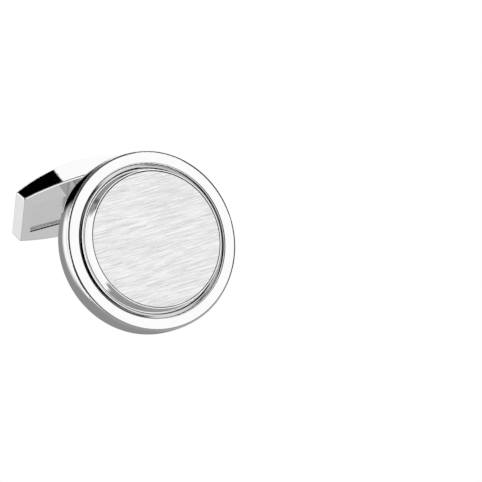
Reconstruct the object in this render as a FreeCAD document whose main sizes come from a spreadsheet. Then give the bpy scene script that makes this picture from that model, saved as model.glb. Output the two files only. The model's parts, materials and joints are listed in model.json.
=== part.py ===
import FreeCAD, Part
import math
import os

import Sketcher

# Round cufflink with a curved arm and a toggle that clicks round on a pivot pin.
# The origin is the centre of the head's back face, where the arm leaves it.
# The head looks along -Y, the arm leaves along +Y and bends up to +Z. Sizes are in millimetres and degrees.
SIZES = {
    # Head
    "case_radius": 8.58,
    "case_depth": 2.55,
    "case_wall": 0.6,
    "side_bulge": 0.04,
    "front_edge_round": 0.24,
    "back_edge_round": 0.25,
    "ring_width": 1.28,
    "ring_thickness": 0.7,
    "bore_edge_round": 0.18,
    "groove_width": 0.18,
    "ledge_width": 0.09,
    "ledge_drop": 0.04,
    "flank_run": 0.44,
    "collar_rise": 0.95,
    "collar_rim": 0.08,
    "plate_thickness": 0.5,
    "plate_clearance": 0.03,
    "plate_edge_round": 0.09,
    "plate_ledge": 0.7,
    "back_thickness": 0.7,
    "seat_clearance": 0.03,
    # Arm and its screw
    "arm_width": 2.5,
    "arm_thickness": 1.6,
    "arm_root": 2.05,
    "arm_bend": 5.63,
    "arm_turn": 49.5,
    "arm_tip": 3.8,
    "arm_edge_round": 0.25,
    "foot_depth": 0.3,
    "knuckle_width": 3.24,
    "knuckle_reach": 1.4,
    "knuckle_round": 1.05,
    "screw_radius": 0.45,
    "screw_grip": 1.8,
    "screw_end_gap": 0.2,
    "screw_head_radius": 1.1,
    "screw_head_height": 0.6,
    "screw_slot_width": 0.3,
    "screw_slot_depth": 0.25,
    "thread_clearance": 0.02,
    # Toggle
    "toggle_length": 14.8,
    "toggle_width": 7.5,
    "toggle_end_width": 5.3,
    "toggle_depth": 2.35,
    "toggle_end_depth": 1.25,
    "toggle_end_slant": 0.24,
    "toggle_corner_round": 0.32,
    "toggle_edge_round": 0.17,
    "toggle_back_round": 0.12,
    "ear_radius": 1.5,
    "ear_thickness": 0.9,
    "ear_clearance": 0.08,
    "ear_edge_round": 0.12,
    "channel_end": 1.3,
    "channel_depth": 0.45,
    "flex_length": 8.0,
    "flex_depth": 0.35,
    "spring_thickness": 0.2,
    "spring_clearance": 0.05,
    "spring_corner": 0.3,
    "knuckle_clearance": 0.02,
    "pin_radius": 0.55,
    "pin_press": 0.01,
    "pin_running": 0.03,
    "pin_dome": 0.15,
}

# Places that several pieces share, written with the sizes above
RING_PLANE = "dim.case_depth"
SHOULDER = "(dim.case_depth - dim.ring_thickness)"
CASE_BORE = "(dim.case_radius - dim.case_wall)"
WALL_EDGE = "(dim.case_radius - dim.side_bulge)"
RING_BORE = "(%s - dim.ring_width)" % WALL_EDGE
COLLAR_RADIUS = "(%s - dim.groove_width)" % RING_BORE
FLANK_FOOT = "(%s - dim.ledge_width)" % COLLAR_RADIUS
FLANK_TOP = "(%s - dim.flank_run)" % FLANK_FOOT
PLATE_SEAT = "(%s - dim.collar_rim)" % FLANK_TOP
PLATE_RADIUS = "(%s - dim.plate_clearance)" % PLATE_SEAT
PLATE_FRONT = "(dim.case_depth + dim.collar_rise)"
PLATE_BACK = "(dim.case_depth + dim.collar_rise - dim.plate_thickness)"
EAR_INNER = "(dim.knuckle_width / 2 + dim.ear_clearance)"
EAR_OUTER = "(dim.knuckle_width / 2 + dim.ear_clearance + dim.ear_thickness)"
PIVOT_HEIGHT = "(dim.knuckle_reach + dim.knuckle_clearance - dim.channel_depth + dim.spring_thickness)"
PIVOT_BACK = "(dim.arm_root + dim.arm_bend * sin(dim.arm_turn) + dim.arm_tip * cos(dim.arm_turn))"
PIVOT_UP = "(dim.arm_bend * (1 - cos(dim.arm_turn)) + dim.arm_tip * sin(dim.arm_turn))"
TOGGLE_HALF = "(dim.toggle_length / 2)"
FRONT_HALF = "(dim.toggle_length / 2 - dim.toggle_end_slant)"
CHANNEL_HALF = "(dim.toggle_length / 2 - dim.channel_end)"
ARM_STRAIGHT = "(dim.arm_root + dim.foot_depth)"
HEAD_TURN = "90"
TIP_TURN = "(90 + dim.arm_turn)"

X_AXIS = FreeCAD.Vector(1, 0, 0)
NEAR = 1e-4

doc = FreeCAD.newDocument("cufflink")
dim = doc.addObject("Spreadsheet::Sheet", "dim")


def fill_sheet():
    for row, (name, number) in enumerate(SIZES.items(), start=1):
        dim.set("A%d" % row, name)
        dim.set("B%d" % row, str(number))
        dim.setAlias("B%d" % row, name)
    doc.recompute()


def size(text):
    """Value of an expression of sheet sizes."""
    return float(dim.evalExpression(text))


def place(item, turn, back, up):
    """Turn an object about X, then set it at a point of the YZ plane."""
    item.Placement = FreeCAD.Placement(FreeCAD.Vector(), FreeCAD.Rotation(X_AXIS, size(turn)))
    item.setExpression(".Placement.Rotation.Angle", turn)
    item.setExpression(".Placement.Base.y", back)
    item.setExpression(".Placement.Base.z", up)


def new_body(name, turn, back="0", up="0"):
    """Body whose own Z axis leans from up towards the front by the turn."""
    body = doc.addObject("PartDesign::Body", name)
    body.Label = name
    place(body, turn, back, up)
    return body


def beyond_pivot(distance):
    """Point past the pivot, along the way the arm ends."""
    back = "(%s + %s * cos(dim.arm_turn))" % (PIVOT_BACK, distance)
    up = "(%s + %s * sin(dim.arm_turn))" % (PIVOT_UP, distance)
    return back, up


def bow_radius(half_chord, rise):
    """Radius of an arc with a half chord and a rise."""
    return "((%s^2 + %s^2) / (2 * %s))" % (half_chord, rise, rise)


def edge_middle(edge):
    return edge.valueAt((edge.FirstParameter + edge.LastParameter) / 2)


def new_sketch(body, name, role):
    plane = next(item for item in body.Origin.OriginFeatures if item.Role == role)
    sketch = body.newObject("Sketcher::SketchObject", name)
    sketch.AttachmentSupport = [(plane, "")]
    sketch.MapMode = "FlatFace"
    return sketch


def hold(sketch, constraint, text):
    index = sketch.addConstraint(constraint)
    sketch.setExpression("Constraints[%d]" % index, text)


def pin_point(sketch, item, end, across, along):
    """Hold one point of a sketch at two expressions, on an axis where the expression is 0."""
    for kind, text, axis in (("DistanceX", across, -2), ("DistanceY", along, -1)):
        if text == "0":
            sketch.addConstraint(Sketcher.Constraint("PointOnObject", item, end, axis))
        else:
            hold(sketch, Sketcher.Constraint(kind, -1, 1, item, end, size(text)), text)


def arc_middle(start, end, radius):
    """Middle of the arc of a signed radius: positive bows to the right of the way from start to end."""
    chord = end - start
    half = chord.Length / 2
    sagitta = abs(radius) - math.sqrt(max(0.0, radius * radius - half * half))
    side = FreeCAD.Vector(chord.y, -chord.x, 0).normalize()
    return (start + end) / 2 + side * math.copysign(sagitta, radius)


def outline(body, name, role, corners, arcs=None):
    """Closed outline through the corners. arcs gives, by the corner it starts at, (radius, side)."""
    arcs = arcs or {}
    sketch = new_sketch(body, name, role)
    spots = [FreeCAD.Vector(size(across), size(along), 0) for across, along in corners]
    ends = []
    for index, start in enumerate(spots):
        end = spots[(index + 1) % len(spots)]
        if index in arcs:
            radius, side = arcs[index]
            curve = Part.Arc(start, arc_middle(start, end, side * size(radius)), end)
        else:
            curve = Part.LineSegment(start, end)
        item = sketch.addGeometry(curve)
        runs_on = sketch.getPoint(item, 1).distanceToPoint(start) < NEAR
        ends.append((1, 2) if runs_on else (2, 1))
    for index, (across, along) in enumerate(corners):
        after = (index + 1) % len(corners)
        sketch.addConstraint(Sketcher.Constraint("Coincident", index, ends[index][1], after, ends[after][0]))
        pin_point(sketch, index, ends[index][0], across, along)
    for index, (radius, _) in arcs.items():
        hold(sketch, Sketcher.Constraint("Radius", index, size(radius)), radius)
    return sketch


def rectangle(body, name, role, half_across, low, high):
    corners = [("-" + half_across, low), (half_across, low), (half_across, high), ("-" + half_across, high)]
    return outline(body, name, role, corners)


def circle(body, name, role, along, radius):
    sketch = new_sketch(body, name, role)
    spot = FreeCAD.Vector(0, size(along), 0)
    item = sketch.addGeometry(Part.Circle(spot, FreeCAD.Vector(0, 0, 1), size(radius)))
    pin_point(sketch, item, 3, "0", along)
    hold(sketch, Sketcher.Constraint("Radius", item, size(radius)), radius)
    return sketch


def spin(body, name, sketch):
    turned = body.newObject("PartDesign::Revolution", name)
    turned.Profile = sketch
    turned.ReferenceAxis = (sketch, ["V_Axis"])
    turned.Angle = 360
    doc.recompute()
    return turned


def pad(body, name, sketch, length, midplane=False, reverse=False):
    block = body.newObject("PartDesign::Pad", name)
    block.Profile = sketch
    block.setExpression("Length", length)
    block.Midplane = midplane
    block.Reversed = reverse
    doc.recompute()
    return block


def pocket(body, name, sketch, length, midplane=False, reverse=False):
    """Cut that has to take material away."""
    before = body.Shape.Volume
    cut = body.newObject("PartDesign::Pocket", name)
    cut.Profile = sketch
    cut.setExpression("Length", length)
    cut.Midplane = midplane
    cut.Reversed = reverse
    doc.recompute()
    if not body.Shape.Volume < before:
        raise RuntimeError("%s of %s cuts nothing" % (name, body.Label))
    return cut


def dress(body, kind, name, amount, test):
    """Fillet or chamfer of the edges of the body's tip that the test picks."""
    base = body.Tip
    picked = ["Edge%d" % number for number, edge in enumerate(base.Shape.Edges, start=1) if test(edge)]
    if not picked:
        raise RuntimeError("%s of %s finds no edge" % (name, body.Label))
    feature = body.newObject("PartDesign::" + kind, name)
    feature.Base = (base, picked)
    feature.setExpression("Radius" if kind == "Fillet" else "Size", amount)
    doc.recompute()
    return feature


def is_ring(radius, height):
    """Test for a circular edge about the Z axis."""
    def test(edge):
        curve = edge.Curve
        if not isinstance(curve, Part.Circle):
            return False
        return abs(curve.Radius - size(radius)) < NEAR and abs(curve.Center.z - size(height)) < NEAR
    return test


def make_case():
    """Turned cup: a flat front ring and a side wall that barrels out a little."""
    body = new_body("case", HEAD_TURN)
    corners = [
        (CASE_BORE, "0"),
        (WALL_EDGE, "0"),
        (WALL_EDGE, RING_PLANE),
        (RING_BORE, RING_PLANE),
        (RING_BORE, SHOULDER),
        (CASE_BORE, SHOULDER),
    ]
    bow = bow_radius("(dim.case_depth / 2)", "dim.side_bulge")
    spin(body, "case_turning", outline(body, "case_profile", "XZ_Plane", corners, {1: (bow, 1)}))
    dress(body, "Fillet", "front_edge", "dim.front_edge_round", is_ring(WALL_EDGE, RING_PLANE))
    dress(body, "Fillet", "bore_edge", "dim.bore_edge_round", is_ring(RING_BORE, RING_PLANE))
    dress(body, "Fillet", "back_edge", "dim.back_edge_round", is_ring(WALL_EDGE, "0"))
    return body


def make_collar():
    """Raised cone with a flange behind the ring, a narrow ledge at its foot and a seat for the plate."""
    body = new_body("collar", HEAD_TURN)
    flange = "(%s - dim.seat_clearance)" % CASE_BORE
    ledge = "(dim.case_depth - dim.ledge_drop)"
    bore = "(%s - dim.plate_ledge)" % PLATE_SEAT
    corners = [
        (bore, "dim.back_thickness"),
        (flange, "dim.back_thickness"),
        (flange, SHOULDER),
        (COLLAR_RADIUS, SHOULDER),
        (COLLAR_RADIUS, ledge),
        (FLANK_FOOT, ledge),
        (FLANK_TOP, PLATE_FRONT),
        (PLATE_SEAT, PLATE_FRONT),
        (PLATE_SEAT, PLATE_BACK),
        (bore, PLATE_BACK),
    ]
    spin(body, "collar_turning", outline(body, "collar_profile", "XZ_Plane", corners))
    return body


def make_face_plate():
    """Flat disc, a shade smaller than its seat, with its front edge rounded over."""
    body = new_body("face_plate", HEAD_TURN)
    corners = [
        ("0", PLATE_BACK),
        (PLATE_RADIUS, PLATE_BACK),
        (PLATE_RADIUS, PLATE_FRONT),
        ("0", PLATE_FRONT),
    ]
    spin(body, "plate_turning", outline(body, "plate_profile", "XZ_Plane", corners))
    dress(body, "Fillet", "plate_edge", "dim.plate_edge_round", is_ring(PLATE_RADIUS, PLATE_FRONT))
    return body


def make_back_plate():
    """Disc that closes the case, with a seat for the arm's foot and a hole for its screw."""
    body = new_body("back_plate", HEAD_TURN)
    radius = "(%s - dim.seat_clearance)" % CASE_BORE
    disc = circle(body, "disc", "XY_Plane", "0", radius)
    pad(body, "plate", disc, "dim.back_thickness")
    half_foot = "(dim.arm_thickness / 2 + dim.seat_clearance)"
    half_seat = "(dim.arm_width / 2 + dim.seat_clearance)"
    seat = rectangle(body, "foot_seat", "XY_Plane", half_foot, "-" + half_seat, half_seat)
    pocket(body, "foot_pocket", seat, "dim.foot_depth", reverse=True)
    hole = circle(body, "screw_hole", "XY_Plane", "0", "(dim.screw_radius + dim.thread_clearance)")
    pocket(body, "screw_pocket", hole, "dim.back_thickness", reverse=True)
    return body


def make_arm_screw():
    """Slotted screw whose head lies inside the head of the cufflink."""
    body = new_body("arm_screw", HEAD_TURN)
    tip = "(dim.foot_depth - dim.screw_grip)"
    top = "(dim.back_thickness + dim.screw_head_height)"
    corners = [
        ("0", tip),
        ("dim.screw_radius", tip),
        ("dim.screw_radius", "dim.back_thickness"),
        ("dim.screw_head_radius", "dim.back_thickness"),
        ("dim.screw_head_radius", top),
        ("0", top),
    ]
    spin(body, "screw_turning", outline(body, "screw_profile", "XZ_Plane", corners))
    floor = "(%s - dim.screw_slot_depth)" % top
    slot = rectangle(body, "slot", "XZ_Plane", "(dim.screw_slot_width / 2)", floor, top)
    pocket(body, "slot_pocket", slot, "(4 * dim.screw_head_radius)", midplane=True)
    return body


def on_bend(radius, run):
    """Point of the arm in its own frame: past the bend by the run, at a radius about the bend's centre."""
    across = "(dim.arm_bend - %s * cos(dim.arm_turn) + %s * sin(dim.arm_turn))" % (radius, run)
    along = "(dim.arm_tip + %s * sin(dim.arm_turn) + %s * cos(dim.arm_turn))" % (radius, run)
    return across, along


def arm_outline(body):
    """Side view of the bar, from the pivot round the bend to the end of the foot."""
    half = "(dim.arm_width / 2)"
    outer = "(dim.arm_bend + %s)" % half
    inner = "(dim.arm_bend - %s)" % half
    corners = [
        ("-" + half, "0"),
        (half, "0"),
        (half, "dim.arm_tip"),
        on_bend(inner, "0"),
        on_bend(inner, ARM_STRAIGHT),
        on_bend(outer, ARM_STRAIGHT),
        on_bend(outer, "0"),
        ("-" + half, "dim.arm_tip"),
    ]
    return outline(body, "arm_side", "YZ_Plane", corners, {2: (inner, -1), 6: (outer, 1)})


def knuckle_outline(body):
    """Square with round corners about the pivot, seen along the pin."""
    reach = "dim.knuckle_reach"
    flat = "(dim.knuckle_reach - dim.knuckle_round)"
    corners = [
        ("-" + flat, "-" + reach),
        (flat, "-" + reach),
        (reach, "-" + flat),
        (reach, flat),
        (flat, reach),
        ("-" + flat, reach),
        ("-" + reach, flat),
        ("-" + reach, "-" + flat),
    ]
    arcs = {index: ("dim.knuckle_round", 1) for index in (1, 3, 5, 7)}
    return outline(body, "knuckle_profile", "XZ_Plane", corners, arcs)


def make_arm():
    """Flat-sided bar from the pivot to the back plate, with a rounded-square knuckle at the pivot."""
    body = new_body("arm", TIP_TURN, PIVOT_BACK, PIVOT_UP)
    pad(body, "bar", arm_outline(body), "dim.arm_thickness", midplane=True)
    foot_across, foot_along = on_bend("dim.arm_bend", ARM_STRAIGHT)
    foot = FreeCAD.Vector(0, size(foot_across), size(foot_along))

    def is_long_edge(edge):
        middle = edge_middle(edge)
        middle.x = 0
        flat = edge.BoundBox.XLength < NEAR
        return flat and middle.z > NEAR and middle.distanceToPoint(foot) > NEAR

    dress(body, "Fillet", "bar_edges", "dim.arm_edge_round", is_long_edge)
    pad(body, "knuckle", knuckle_outline(body), "dim.knuckle_width", midplane=True)
    hole = circle(body, "pin_hole", "XZ_Plane", "0", "(dim.pin_radius + dim.pin_running)")
    pocket(body, "pin_bore", hole, "(2 * dim.knuckle_width)", midplane=True)
    thread = body.newObject("PartDesign::SubtractiveCylinder", "screw_thread")
    thread.setExpression("Radius", "dim.screw_radius + dim.thread_clearance")
    thread.setExpression("Height", "dim.screw_grip + dim.screw_end_gap")
    place(thread, "(180 - dim.arm_turn)", foot_across, foot_along)
    doc.recompute()
    return body


def make_toggle_body():
    """Boat-shaped bar with slanted ends and an arched back, and with ears and a channel in front."""
    body = new_body("toggle_body", TIP_TURN, *beyond_pivot(PIVOT_HEIGHT))
    half_end = "(dim.toggle_end_width / 2)"
    plan = [
        ("-" + TOGGLE_HALF, "-" + half_end),
        (TOGGLE_HALF, "-" + half_end),
        (TOGGLE_HALF, half_end),
        ("-" + TOGGLE_HALF, half_end),
    ]
    side_bow = bow_radius(TOGGLE_HALF, "(dim.toggle_width / 2 - %s)" % half_end)
    block = outline(body, "plan", "XY_Plane", plan, {0: (side_bow, 1), 2: (side_bow, 1)})
    pad(body, "block", block, "(2 * dim.toggle_depth)", reverse=True)
    beyond = "dim.toggle_length"
    below = "-(3 * dim.toggle_depth)"
    arch = [
        ("-" + FRONT_HALF, "0"),
        ("-" + TOGGLE_HALF, "-dim.toggle_end_depth"),
        (TOGGLE_HALF, "-dim.toggle_end_depth"),
        (FRONT_HALF, "0"),
        (beyond, "0"),
        (beyond, below),
        ("-" + beyond, below),
        ("-" + beyond, "0"),
    ]
    back_bow = bow_radius(TOGGLE_HALF, "(dim.toggle_depth - dim.toggle_end_depth)")
    cut = outline(body, "arch", "XZ_Plane", arch, {1: (back_bow, 1)})
    pocket(body, "ends_and_back", cut, "(2 * dim.toggle_width)", midplane=True)
    end_depth = size("dim.toggle_end_depth")

    def is_corner(edge):
        box = edge.BoundBox
        return box.ZLength > end_depth / 2 and box.XLength < end_depth

    def is_front_edge(edge):
        return abs(edge.BoundBox.ZMin) < NEAR and abs(edge.BoundBox.ZMax) < NEAR

    def is_back_edge(edge):
        return edge_middle(edge).z < NEAR - end_depth

    dress(body, "Fillet", "corners", "dim.toggle_corner_round", is_corner)
    dress(body, "Fillet", "front_edges", "dim.toggle_edge_round", is_front_edge)
    dress(body, "Fillet", "back_edges", "dim.toggle_back_round", is_back_edge)
    cut_toggle_front(body)
    return body


def cut_toggle_front(body):
    """Ears, the slot between them, the spring's channel, the room for it to flex and the pin holes."""
    radius = "dim.ear_radius"
    ear = [
        ("-" + radius, "-dim.channel_depth"),
        (radius, "-dim.channel_depth"),
        (radius, PIVOT_HEIGHT),
        ("0", "(%s + %s)" % (PIVOT_HEIGHT, radius)),
        ("-" + radius, PIVOT_HEIGHT),
    ]
    ears = outline(body, "ear_profile", "XZ_Plane", ear, {2: (radius, 1), 3: (radius, 1)})
    pad(body, "ears", ears, "(2 * %s)" % EAR_OUTER, midplane=True)
    outer = size(EAR_OUTER)

    def is_ear_rim(edge):
        box = edge.BoundBox
        return box.YLength < NEAR and abs(abs(box.YMin) - outer) < NEAR and box.ZMax > NEAR

    dress(body, "Fillet", "ear_edges", "dim.ear_edge_round", is_ear_rim)
    slot = rectangle(body, "slot", "XY_Plane", "(2 * %s)" % radius, "-" + EAR_INNER, EAR_INNER)
    pocket(body, "ear_slot", slot, "(%s + 2 * %s)" % (PIVOT_HEIGHT, radius), reverse=True)
    channel = rectangle(body, "channel", "XY_Plane", CHANNEL_HALF, "-" + EAR_INNER, EAR_INNER)
    pocket(body, "spring_channel", channel, "dim.channel_depth")
    room = rectangle(body, "flex_room", "XY_Plane", "(dim.flex_length / 2)", "-" + EAR_INNER, EAR_INNER)
    pocket(body, "flex_pocket", room, "(dim.channel_depth + dim.flex_depth)")
    hole = circle(body, "pin_hole", "XZ_Plane", PIVOT_HEIGHT, "(dim.pin_radius + dim.pin_press)")
    pocket(body, "pin_bore", hole, "(4 * %s)" % EAR_OUTER, midplane=True)


def make_leaf_spring():
    """Flat strip that lies in the channel, under the knuckle."""
    floor = "(%s + dim.channel_depth)" % PIVOT_HEIGHT
    body = new_body("leaf_spring", TIP_TURN, *beyond_pivot(floor))
    half_length = "(%s - dim.spring_clearance)" % CHANNEL_HALF
    half_width = "(%s - dim.spring_clearance)" % EAR_INNER
    strip = rectangle(body, "strip", "XY_Plane", half_length, "-" + half_width, half_width)
    pad(body, "leaf", strip, "dim.spring_thickness")

    def is_corner(edge):
        return edge.BoundBox.ZLength > NEAR

    dress(body, "Fillet", "corners", "dim.spring_corner", is_corner)
    return body


def make_pivot_pin():
    """Plain pin through both ears, with low domes where its ends are closed over."""
    body = new_body("pivot_pin", TIP_TURN, PIVOT_BACK, PIVOT_UP)
    peak = "(%s + dim.pin_dome)" % EAR_OUTER
    corners = [
        ("0", "-" + peak),
        ("dim.pin_radius", "-" + EAR_OUTER),
        ("dim.pin_radius", EAR_OUTER),
        ("0", peak),
    ]
    dome = bow_radius("dim.pin_radius", "dim.pin_dome")
    profile = outline(body, "pin_profile", "XY_Plane", corners, {0: (dome, 1), 2: (dome, 1)})
    spin(body, "pin_turning", profile)
    return body


def check(bodies):
    """Stop if anything in the document failed, or a piece isn't one sound solid."""
    failed = [item.Name for item in doc.Objects if {"Invalid", "Error"} & set(item.State)]
    if failed:
        raise RuntimeError("failed objects: %s" % ", ".join(failed))
    for body in bodies:
        shape = body.Shape
        if shape.isNull() or not shape.isValid() or len(shape.Solids) != 1:
            raise RuntimeError("%s is not one sound solid" % body.Label)


def main():
    fill_sheet()
    bodies = [
        make_case(),
        make_collar(),
        make_face_plate(),
        make_back_plate(),
        make_arm_screw(),
        make_arm(),
        make_toggle_body(),
        make_leaf_spring(),
        make_pivot_pin(),
    ]
    doc.recompute()
    check(bodies)
    os.makedirs("parts", exist_ok=True)
    for body in bodies:
        body.Shape.exportStep(os.path.join("parts", body.Label + ".step"))


main()
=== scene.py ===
import json
import math

import bpy
from mathutils import Matrix, Vector


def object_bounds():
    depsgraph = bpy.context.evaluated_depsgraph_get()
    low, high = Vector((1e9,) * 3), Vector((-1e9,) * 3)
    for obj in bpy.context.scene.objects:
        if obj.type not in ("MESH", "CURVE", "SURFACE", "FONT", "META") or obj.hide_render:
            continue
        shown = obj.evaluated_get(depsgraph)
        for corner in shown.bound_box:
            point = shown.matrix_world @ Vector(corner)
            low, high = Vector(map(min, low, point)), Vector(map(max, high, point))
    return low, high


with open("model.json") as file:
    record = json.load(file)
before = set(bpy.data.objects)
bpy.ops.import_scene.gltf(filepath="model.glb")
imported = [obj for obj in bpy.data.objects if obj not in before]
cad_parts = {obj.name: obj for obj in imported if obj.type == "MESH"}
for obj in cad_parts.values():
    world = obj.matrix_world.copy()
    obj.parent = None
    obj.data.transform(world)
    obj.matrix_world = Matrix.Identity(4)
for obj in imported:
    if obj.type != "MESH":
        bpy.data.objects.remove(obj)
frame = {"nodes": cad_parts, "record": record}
cad_low, cad_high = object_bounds()
nodes = frame["nodes"]
MM = 0.001

# Directions of the head: its face looks against BACK, and ACROSS and UP lie in it
ACROSS = Vector((1, 0, 0))
BACK = Vector((0, 1, 0))
UP = Vector((0, 0, 1))

# Normals: the most that one square to a direction has along it, and the least that one facing it has
SQUARE_MOST = 0.2
FACING_LEAST = 0.9

# Camera: where it looks, from which side and how far, with the photograph's frame
PHOTO_WIDTH = 482
FOCAL_PIXELS = 2500
SENSOR = 36
AIM = Vector((8.0454, -3.9594, -2.3538)) * MM
DISTANCE = 235.12 * MM
AZIMUTH = math.radians(-26.624)
ELEVATION = math.radians(-1.625)
ROLL = math.radians(-16.78)

# Polish: grains of its cloud per metre, and the cloud's relief.
# The tone goes up and down by CLOUD_TONE, and the roughness up to CLOUD_ROUGH times the least.
CLOUD_GRAINS = (900, 900, 900)
CLOUD_TONE = 0.01
CLOUD_ROUGH = 1.3
CLOUD_RISE = 0.003 * MM

# Noise: the values between which most of it lies
NOISE_SPAN = (0.3, 0.7)

# Painted shade in grooves and gaps: how near a wall counts, the openness from dark to clear, and the tone
# left when dark
CREVICE_REACH = 0.5 * MM
CREVICE_SPAN = (0.05, 0.35)
CREVICE_SHADE_TONE = 0.45
CREVICE_SAMPLES = 8

# Brushing: its second scratches as parts of the first, its fine grains per scratch, and its relief.
# The grains make the roughness go from the first to the second part of a metal's own.
SECOND_LENGTH = 0.55
SECOND_WIDTH = 0.7
FINE_PER_LENGTH = 0.8
FINE_PER_WIDTH = 1.3
FINE_DETAIL = 2.0
FINE_ROUGHNESS = 0.5
DULL_PARTS = (1.2, 0.8)
BRUSH_RISE = 0.002 * MM

# Case: where its ring starts to round over, at the bore and outside, and the bore rounding's middle along Y
BORE_ROUND_RADIUS = 7.44 * MM
OUTER_ROUND_RADIUS = 8.31 * MM
BORE_ROUND_DEPTH = -2.37 * MM

# Collar: it lies in the groove outside this radius, and its wall and ledge get painted shade that changes
# from left to right
GROOVE_RADIUS = 6.9 * MM
GROOVE_WALL_SPAN = (-6 * MM, 3 * MM)
GROOVE_WALL_SHADES = (0.02, 0.9)
LEDGE_SPAN = (-GROOVE_RADIUS, GROOVE_RADIUS)
LEDGE_SHADES = (1.0, 0.42)

# Plate: how far forward its edge still looks where it turns dull, and its painted shade, by height up a
# slant; the painted shade is darker towards the top
EDGE_SLANT = (0.19, 0, 0.98)
EDGE_FLAT = 0.93
EDGE_TURN_SPAN = (-1 * MM, 5.5 * MM)
EDGE_TURNS = (EDGE_FLAT, 0.99)
EDGE_SHADE_SPAN = (-1 * MM, 4.5 * MM)
EDGE_SHADES = (0.6, 0.0)
EDGE_ROUGH = 0.35

# Toggle: its pin's direction, a point on the pin, and the direction from the pin into the toggle
JOINT = frame["record"]["behaviour"]["joints"][0]
PIN = Vector(JOINT["axis"])
PIVOT = Vector(JOINT["pos_m"])
INWARD = PIN.cross(ACROSS)

# Toggle's channel: how far from the middle its walls reach, and the painted dark line of shade at its lower
# edge
CHANNEL_REACH = 2.0 * MM
LINE_DEPTH = 1.18 * MM
LINE_DEPTH_REACH = 0.02 * MM
LINE_OFFSET = -1.765 * MM
LINE_OFFSET_REACH = 0.075 * MM
LINE_REACH = 6.1 * MM
SHADE_LINE_TONE = 0.015

# Toggle's front edges: the depth they lie beyond, and each facet's tilt from the side to the front.
# A facet covers normals whose part against INWARD is between its first value and the last one.
RIM_DEPTH = 1.165 * MM
LONG_TILT = math.radians(34)
LONG_FIRST = 0.5
END_TILT = math.radians(20)
END_FIRST = 0.16
FACET_LAST = 0.96

# Floor under the lowest edge: its half width in metres, its grey, and the level that the camera sees
FLOOR_HALF = 2.0
FLOOR_GREY = 0.5
FLOOR_SEEN = 0.76
FLOOR_CLEARANCE = 0.02 * MM

# Studio's ground, by the parts of a direction: how it slants, where it begins, and its tones along X
GROUND_SLANT = 0.14
GROUND_START = (-0.5, -0.6)
GROUND_SPAN = (0.1, 0.45)
GROUND_TONES = (0.3, 0.58)

# Studio's dark ring, by the height of a direction: its tones in the upper half and the lower one
UPPER_SPAN = (0.2, 0.5)
UPPER_TONES = (0.03, 0.06)
LOWER_SPAN = (-0.15, -0.5)
LOWER_TONE = 0.33

# Studio's round fields, where a later one covers an earlier one.
# Each has an azimuth from +Y towards -X, an elevation, a radius and a soft edge, in degrees, and a level.
# The dark ring takes its level from its tones. It and the first field lie round what the flat front mirrors.
FLAT_MIRRORS = (-153.4, 1.6)
DARK_RING = (*FLAT_MIRRORS, 69, 3)
FIELDS = [
    (*FLAT_MIRRORS, 18, 5, 1.0),
    (-3.5, -3, 28.5, 1.5, 0.27),
    (16, 47, 23, 3, 0.0),
    (-10, 29, 13.5, 3, 0.0),
    (42, -8, 9, 4, 0.78),
    (138, 57, 13, 5, 0.3),
    (-178, 63, 14, 5, 0.3),
    (139, 60, 4, 2, 0.06),
    (146.3, 79.6, 19, 0.4, 0.0),
    (82, 66, 13, 6, 0.08),
    (50, 16, 11, 9, 0.5),
    (130, -12, 13, 5, 0.06),
    (-80, 30, 20, 5, 0.04),
    (-141, 25, 8, 3, 1.0),
    (79, -66, 8, 4, 0.44),
]


def new_material(name):
    made = bpy.data.materials.new(name)
    made.use_nodes = True
    tree = made.node_tree
    return made, tree, tree.nodes["Principled BSDF"]


def add(tree, kind, **settings):
    node = tree.nodes.new(kind)
    for key, value in settings.items():
        setattr(node, key, value)
    return node


def feed(tree, socket, value):
    """Set a socket to a value, or link it to another node's output."""
    if isinstance(value, bpy.types.NodeSocket):
        tree.links.new(value, socket)
    else:
        socket.default_value = value


def calc(tree, operation, *values):
    node = add(tree, "ShaderNodeMath", operation=operation)
    for socket, value in zip(node.inputs, values):
        feed(tree, socket, value)
    return node.outputs[0]


def vector_calc(tree, operation, *values):
    node = add(tree, "ShaderNodeVectorMath", operation=operation)
    for socket, value in zip(node.inputs, values):
        feed(tree, socket, value)
    return node.outputs["Vector"]


def scaled(tree, vector, amount):
    node = add(tree, "ShaderNodeVectorMath", operation="SCALE")
    feed(tree, node.inputs[0], vector)
    feed(tree, node.inputs["Scale"], amount)
    return node.outputs["Vector"]


def dot(tree, vector, direction):
    node = add(tree, "ShaderNodeVectorMath", operation="DOT_PRODUCT")
    feed(tree, node.inputs[0], vector)
    feed(tree, node.inputs[1], direction)
    return node.outputs["Value"]


def coordinates(tree, output):
    """Object and Normal are the piece's own place and normal, Generated is a direction of the studio."""
    return add(tree, "ShaderNodeTexCoord").outputs[output]


def along(tree, output, direction):
    """Part of the piece's own coordinates or normal that lies along a direction."""
    return dot(tree, coordinates(tree, output), direction)


def from_pin(tree, direction):
    """Distance from the toggle's pin along a direction."""
    return calc(tree, "SUBTRACT", along(tree, "Object", direction), direction.dot(PIVOT))


def facing_front(tree):
    """1 where the surface looks straight forwards or backwards, 0 on walls."""
    return calc(tree, "ABSOLUTE", along(tree, "Normal", BACK))


def square_radius(tree):
    """Square of the distance from the head's axis."""
    across = along(tree, "Object", ACROSS)
    up = along(tree, "Object", UP)
    return calc(tree, "ADD", calc(tree, "MULTIPLY", across, across), calc(tree, "MULTIPLY", up, up))


def within(tree, value, middle, reach):
    """1 where a value lies within reach of the middle, else 0."""
    return calc(tree, "COMPARE", value, middle, reach)


def both(tree, first, second):
    """1 where two answers are both 1, else 0."""
    return calc(tree, "MULTIPLY", first, second)


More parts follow.
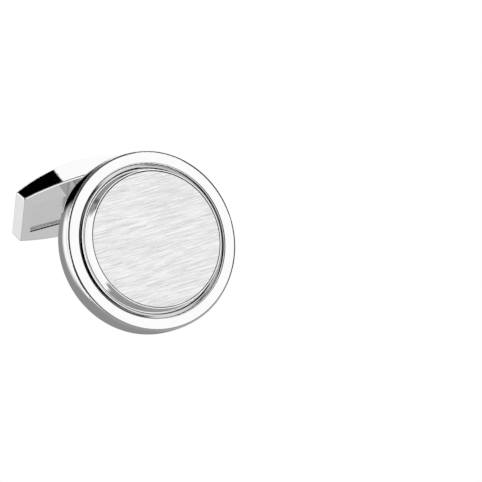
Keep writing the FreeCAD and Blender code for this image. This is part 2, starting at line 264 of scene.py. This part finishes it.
def remap(tree, value, span, results, smooth=False):
    """Carry a value over from one span to another, and hold it at the ends."""
    node = add(tree, "ShaderNodeMapRange", interpolation_type="SMOOTHSTEP" if smooth else "LINEAR")
    feed(tree, node.inputs["Value"], value)
    for name, number in zip(("From Min", "From Max", "To Min", "To Max"), (*span, *results)):
        feed(tree, node.inputs[name], number)
    return node.outputs["Result"]


def blend(tree, amount, first, second, kind="FLOAT"):
    """First value where the amount is 0, second where it is 1."""
    node = add(tree, "ShaderNodeMix", data_type=kind)
    feed(tree, node.inputs["Factor"], amount)
    feed(tree, node.inputs["A"], first)
    feed(tree, node.inputs["B"], second)
    return node.outputs["Result"]


def grey(tree, value):
    node = add(tree, "ShaderNodeCombineColor")
    for socket in node.inputs[:3]:
        feed(tree, socket, value)
    return node.outputs[0]


def noise(tree, scales, detail=3.0, rough=0.55):
    """Noise over the piece's own coordinates, with a count of grains per metre along each axis."""
    grain = add(tree, "ShaderNodeTexNoise")
    feed(tree, grain.inputs["Vector"], vector_calc(tree, "MULTIPLY", coordinates(tree, "Object"), scales))
    feed(tree, grain.inputs["Scale"], 1.0)
    feed(tree, grain.inputs["Detail"], detail)
    feed(tree, grain.inputs["Roughness"], rough)
    return grain.outputs["Fac"]


def scratches(tree, length, width):
    """Random value for each straight scratch. The scratches lie end to end in rows along X."""
    row = calc(tree, "FLOOR", calc(tree, "DIVIDE", along(tree, "Object", UP), width))
    start = add(tree, "ShaderNodeTexWhiteNoise", noise_dimensions="1D")
    feed(tree, start.inputs["W"], row)
    place = calc(tree, "DIVIDE", along(tree, "Object", ACROSS), length)
    turn = calc(tree, "FLOOR", calc(tree, "ADD", place, start.outputs["Value"]))
    pair = add(tree, "ShaderNodeCombineXYZ")
    feed(tree, pair.inputs["X"], row)
    feed(tree, pair.inputs["Y"], turn)
    pick = add(tree, "ShaderNodeTexWhiteNoise", noise_dimensions="2D")
    feed(tree, pick.inputs["Vector"], pair.outputs["Vector"])
    return pick.outputs["Value"]


def painted_crevice_shade(tree):
    """Painted shade: 1 on open surfaces, falling to a darker tone deep in grooves and gaps."""
    shade = add(tree, "ShaderNodeAmbientOcclusion", samples=CREVICE_SAMPLES)
    feed(tree, shade.inputs["Distance"], CREVICE_REACH)
    return remap(tree, shade.outputs["AO"], CREVICE_SPAN, (CREVICE_SHADE_TONE, 1.0))


def bump(tree, shader, height, rise, normal):
    """Slight relief on the surface, with the height of its waves in metres."""
    node = add(tree, "ShaderNodeBump")
    feed(tree, node.inputs["Distance"], rise)
    feed(tree, node.inputs["Height"], height)
    if normal:
        feed(tree, node.inputs["Normal"], normal(tree))
    feed(tree, shader.inputs["Normal"], node.outputs["Normal"])


def mesh_normal(tree):
    return add(tree, "ShaderNodeNewGeometry").outputs["Normal"]


def swap_normal(tree, where, usual, other):
    """Usual normal, or where the answer is 1 the other one, which is in the piece's own coordinates."""
    turn = add(tree, "ShaderNodeVectorTransform", vector_type="NORMAL")
    turn.convert_from = "OBJECT"
    turn.convert_to = "WORLD"
    feed(tree, turn.inputs[0], other)
    return blend(tree, where, usual, turn.outputs[0], "VECTOR")


def ring_normal(tree):
    """Normal of the case's flat ring and of its rounded bore edge, drawn from their true section."""
    place = coordinates(tree, "Object")
    radius = calc(tree, "SQRT", square_radius(tree))
    spoke = vector_calc(tree, "NORMALIZE", vector_calc(tree, "MULTIPLY", place, ACROSS + UP))
    centre = scaled(tree, spoke, calc(tree, "MAXIMUM", radius, BORE_ROUND_RADIUS))
    middle = vector_calc(tree, "ADD", centre, BACK * BORE_ROUND_DEPTH)
    outward = vector_calc(tree, "NORMALIZE", vector_calc(tree, "SUBTRACT", place, middle))
    front = calc(tree, "LESS_THAN", along(tree, "Object", BACK), BORE_ROUND_DEPTH)
    inner = calc(tree, "LESS_THAN", radius, OUTER_ROUND_RADIUS)
    return swap_normal(tree, both(tree, front, inner), mesh_normal(tree), outward)


def edge_normal(tree):
    """Normal of the toggle, where each rounded edge of its front is shaded as one narrow facet."""
    lead = along(tree, "Normal", -INWARD)
    rim = calc(tree, "GREATER_THAN", from_pin(tree, INWARD), RIM_DEPTH)
    result = mesh_normal(tree)
    edges = ((PIN, ACROSS, LONG_TILT, LONG_FIRST), (ACROSS, PIN, END_TILT, END_FIRST))
    for side, other, tilt, first in edges:
        way = calc(tree, "SIGN", along(tree, "Normal", side))
        sideways = scaled(tree, side, calc(tree, "MULTIPLY", way, math.cos(tilt)))
        facet = vector_calc(tree, "ADD", sideways, -INWARD * math.sin(tilt))
        level = within(tree, along(tree, "Normal", other), 0.0, SQUARE_MOST)
        covered = within(tree, lead, (first + FACET_LAST) / 2, (FACET_LAST - first) / 2)
        result = swap_normal(tree, both(tree, rim, both(tree, level, covered)), result, facet)
    return result


def plate_normal(tree):
    """Normal of the plate: the first part of its rounded edge is shaded as part of its flat front."""
    flat = calc(tree, "GREATER_THAN", along(tree, "Normal", -BACK), EDGE_FLAT)
    return swap_normal(tree, flat, mesh_normal(tree), -BACK)


def groove_painted_shade(tree, painted_shade_tone):
    """Painted shade of the collar: in the groove its wall is painted black at the left and its ledge painted
    darker at the right.
    """
    forward = facing_front(tree)
    across = along(tree, "Object", ACROSS)
    outside = calc(tree, "GREATER_THAN", square_radius(tree), GROOVE_RADIUS ** 2)
    wall = both(tree, outside, calc(tree, "LESS_THAN", forward, SQUARE_MOST))
    ledge = both(tree, outside, calc(tree, "GREATER_THAN", forward, FACING_LEAST))
    # Painted shade: the groove's wall and ledge darken by their place from left to right.
    wall_painted_shade = remap(tree, across, GROOVE_WALL_SPAN, GROOVE_WALL_SHADES)
    ledge_painted_shade = remap(tree, across, LEDGE_SPAN, LEDGE_SHADES)
    return blend(tree, wall, blend(tree, ledge, painted_shade_tone, ledge_painted_shade), wall_painted_shade), 1.0


def channel_painted_shade(tree, painted_shade_tone):
    """Painted shade of the toggle: its channel's long walls are matt, and a painted dark line of shade
    follows the lower edge.
    """
    offset = from_pin(tree, PIN)
    level = within(tree, from_pin(tree, INWARD), LINE_DEPTH, LINE_DEPTH_REACH)
    line = both(tree, level, within(tree, offset, LINE_OFFSET, LINE_OFFSET_REACH))
    line = both(tree, line, within(tree, along(tree, "Object", ACROSS), 0.0, LINE_REACH))
    sideways = calc(tree, "ABSOLUTE", along(tree, "Normal", PIN))
    facing = calc(tree, "GREATER_THAN", sideways, FACING_LEAST)
    wall = both(tree, within(tree, offset, 0.0, CHANNEL_REACH), facing)
    # The dark line is painted shade, drawn into the tone.
    tone = blend(tree, line, blend(tree, wall, painted_shade_tone, 1.0), SHADE_LINE_TONE)
    return tone, blend(tree, wall, 1.0, 0.0)


def plate_edge(tree, tone, rough):
    """Tone and roughness of the plate: its edge is duller where it turns over, and painted darker at the top
    as painted shade.
    """
    height = along(tree, "Object", EDGE_SLANT)
    start = remap(tree, height, EDGE_TURN_SPAN, EDGE_TURNS)
    turned = calc(tree, "LESS_THAN", facing_front(tree), start)
    # Painted shade: the edge's tone darkens with height towards the top.
    edge_painted_shade = calc(tree, "MULTIPLY", tone, remap(tree, height, EDGE_SHADE_SPAN, EDGE_SHADES))
    return blend(tree, turned, tone, edge_painted_shade), blend(tree, turned, rough, EDGE_ROUGH)


def polished_metal(name, tone, shine, shade=None, normal=None):
    """Mirror metal with a faint cloud in its polish and painted shade in its crevices. Painted shade and
    normal treat its own walls and edges.
    """
    made, tree, shader = new_material(name)
    cloud = noise(tree, CLOUD_GRAINS)
    tones = remap(tree, cloud, NOISE_SPAN, (tone - CLOUD_TONE, tone + CLOUD_TONE))
    painted_shade_tone, metal = painted_crevice_shade(tree), 1.0
    if shade:
        painted_shade_tone, metal = shade(tree, painted_shade_tone)
    feed(tree, shader.inputs["Metallic"], metal)
    # The base colour carries the painted shade of crevices, and any painted shade of walls and edges.
    feed(tree, shader.inputs["Base Color"], grey(tree, calc(tree, "MULTIPLY", tones, painted_shade_tone)))
    feed(tree, shader.inputs["Roughness"], remap(tree, cloud, NOISE_SPAN, (shine, shine * CLOUD_ROUGH)))
    bump(tree, shader, cloud, CLOUD_RISE, normal)
    return made


def brushed_metal(name, tones, dull, length, width, edge=None, normal=None):
    """Metal with straight scratches along X, between two tones. The edge treats where it turns over, with
    its painted shade.
    """
    made, tree, shader = new_material(name)
    feed(tree, shader.inputs["Metallic"], 1.0)
    first = scratches(tree, length, width)
    second = scratches(tree, SECOND_LENGTH * length, SECOND_WIDTH * width)
    tone = remap(tree, blend(tree, 0.5, first, second), (0.0, 1.0), tones)
    grains = (FINE_PER_LENGTH / length, FINE_PER_WIDTH / width, FINE_PER_WIDTH / width)
    fine = noise(tree, grains, FINE_DETAIL, FINE_ROUGHNESS)
    rough = remap(tree, fine, NOISE_SPAN, [dull * part for part in DULL_PARTS])
    if edge:
        tone, rough = edge(tree, tone, rough)
    feed(tree, shader.inputs["Base Color"], grey(tree, tone))
    feed(tree, shader.inputs["Roughness"], rough)
    bump(tree, shader, fine, BRUSH_RISE, normal)
    return made


def paint():
    """Give each CAD node its material."""
    looks = {
        "case": polished_metal("polished_case", 0.965, 0.018, normal=ring_normal),
        "collar": polished_metal("polished_collar", 0.965, 0.018, groove_painted_shade),
        "arm": polished_metal("polished_arm", 0.8, 0.13),
        "toggle_body": polished_metal("polished_toggle", 0.965, 0.02, channel_painted_shade, edge_normal),
        "pivot_pin": polished_metal("pin_steel", 0.82, 0.06),
        "face_plate": brushed_metal(
            "brushed_plate", (0.62, 1.0), 0.14, 1.9 * MM, 0.065 * MM, plate_edge, plate_normal),
        "back_plate": brushed_metal("back_steel", (0.47, 0.67), 0.3, 2.6 * MM, 0.09 * MM),
        "arm_screw": brushed_metal("screw_steel", (0.5, 0.62), 0.3, 0.5 * MM, 0.3 * MM),
        "leaf_spring": brushed_metal("spring_steel", (0.92, 0.97), 0.12, 3.0 * MM, 0.12 * MM),
    }
    for name, node in nodes.items():
        node.data.materials.clear()
        node.data.materials.append(looks[name])


def floor_material():
    """Grey that the camera sees paler, and nothing at all when seen from below."""
    made = bpy.data.materials.new("floor")
    made.use_nodes = True
    tree = made.node_tree
    tree.nodes.clear()
    coat = add(tree, "ShaderNodeBsdfDiffuse")
    feed(tree, coat.inputs["Color"], (FLOOR_GREY, FLOOR_GREY, FLOOR_GREY, 1))
    camera_ray = add(tree, "ShaderNodeLightPath").outputs["Is Camera Ray"]
    light = add(tree, "ShaderNodeEmission")
    feed(tree, light.inputs["Strength"], calc(tree, "MULTIPLY", camera_ray, FLOOR_SEEN - FLOOR_GREY))
    total = add(tree, "ShaderNodeAddShader")
    feed(tree, total.inputs[0], coat.outputs[0])
    feed(tree, total.inputs[1], light.outputs[0])
    mix = add(tree, "ShaderNodeMixShader")
    feed(tree, mix.inputs["Fac"], add(tree, "ShaderNodeNewGeometry").outputs["Backfacing"])
    feed(tree, mix.inputs[1], total.outputs[0])
    feed(tree, mix.inputs[2], add(tree, "ShaderNodeBsdfTransparent").outputs[0])
    out = add(tree, "ShaderNodeOutputMaterial")
    feed(tree, out.inputs["Surface"], mix.outputs[0])
    return made


def make_floor():
    """Pale floor under the lowest edge, with the object's soft shadow."""
    level = cad_low.z - FLOOR_CLEARANCE
    signs = ((-1, -1), (1, -1), (1, 1), (-1, 1))
    corners = [(x * FLOOR_HALF, y * FLOOR_HALF, level) for x, y in signs]
    mesh = bpy.data.meshes.new("floor")
    mesh.from_pydata(corners, [], [(0, 1, 2, 3)])
    mesh.materials.append(floor_material())
    floor = bpy.data.objects.new("floor", mesh)
    bpy.context.scene.collection.objects.link(floor)
    floor.visible_glossy = False


def field(tree, way, azimuth, elevation, radius, soft):
    """1 inside a round field of the studio, 0 outside it, with a soft edge."""
    turn, rise = math.radians(azimuth), math.radians(elevation)
    flat = math.cos(rise)
    near = dot(tree, way, (-math.sin(turn) * flat, math.cos(turn) * flat, math.sin(rise)))
    outer, inner = math.radians(radius + soft), math.radians(radius - soft)
    return remap(tree, near, (math.cos(outer), math.cos(inner)), (0.0, 1.0), True)


def make_studio():
    """White surroundings with soft grey and black fields, which only the mirror of the metal shows."""
    world = bpy.data.worlds.new("studio")
    bpy.context.scene.world = world
    world.use_nodes = True
    tree = world.node_tree
    way = coordinates(tree, "Generated")
    parts = add(tree, "ShaderNodeSeparateXYZ")
    feed(tree, parts.inputs[0], way)
    height = parts.outputs["Z"]
    dip = calc(tree, "SUBTRACT", height, calc(tree, "MULTIPLY", parts.outputs["Y"], GROUND_SLANT))
    below = remap(tree, dip, GROUND_START, (0.0, 1.0), True)
    ground = remap(tree, parts.outputs["X"], GROUND_SPAN, GROUND_TONES, True)
    level = blend(tree, below, 1.0, ground)
    lower = remap(tree, height, LOWER_SPAN, (0.0, 1.0), True)
    ring_tone = blend(tree, lower, remap(tree, height, UPPER_SPAN, UPPER_TONES, True), LOWER_TONE)
    level = blend(tree, field(tree, way, *DARK_RING), level, ring_tone)
    for *place, tone in FIELDS:
        level = blend(tree, field(tree, way, *place), level, tone)
    glossy_ray = add(tree, "ShaderNodeLightPath").outputs["Is Glossy Ray"]
    seen = blend(tree, glossy_ray, 1.0, level)
    feed(tree, tree.nodes["Background"].inputs["Color"], grey(tree, seen))


def make_camera():
    """Camera in the photograph's place."""
    data = bpy.data.cameras.new("camera")
    data.sensor_width = SENSOR
    data.lens = SENSOR * FOCAL_PIXELS / PHOTO_WIDTH
    data.clip_start = 0.01
    data.clip_end = 10
    camera = bpy.data.objects.new("camera", data)
    bpy.context.scene.collection.objects.link(camera)
    flat = math.cos(ELEVATION)
    back = Vector((math.sin(AZIMUTH) * flat, -math.cos(AZIMUTH) * flat, math.sin(ELEVATION)))
    level = back.to_track_quat("Z", "Y").to_matrix().to_4x4()
    camera.matrix_world = Matrix.Translation(AIM + back * DISTANCE) @ level @ Matrix.Rotation(ROLL, 4, "Z")
    bpy.context.scene.camera = camera
    bpy.context.scene.view_settings.view_transform = "Standard"


paint()
make_floor()
make_studio()
make_camera()
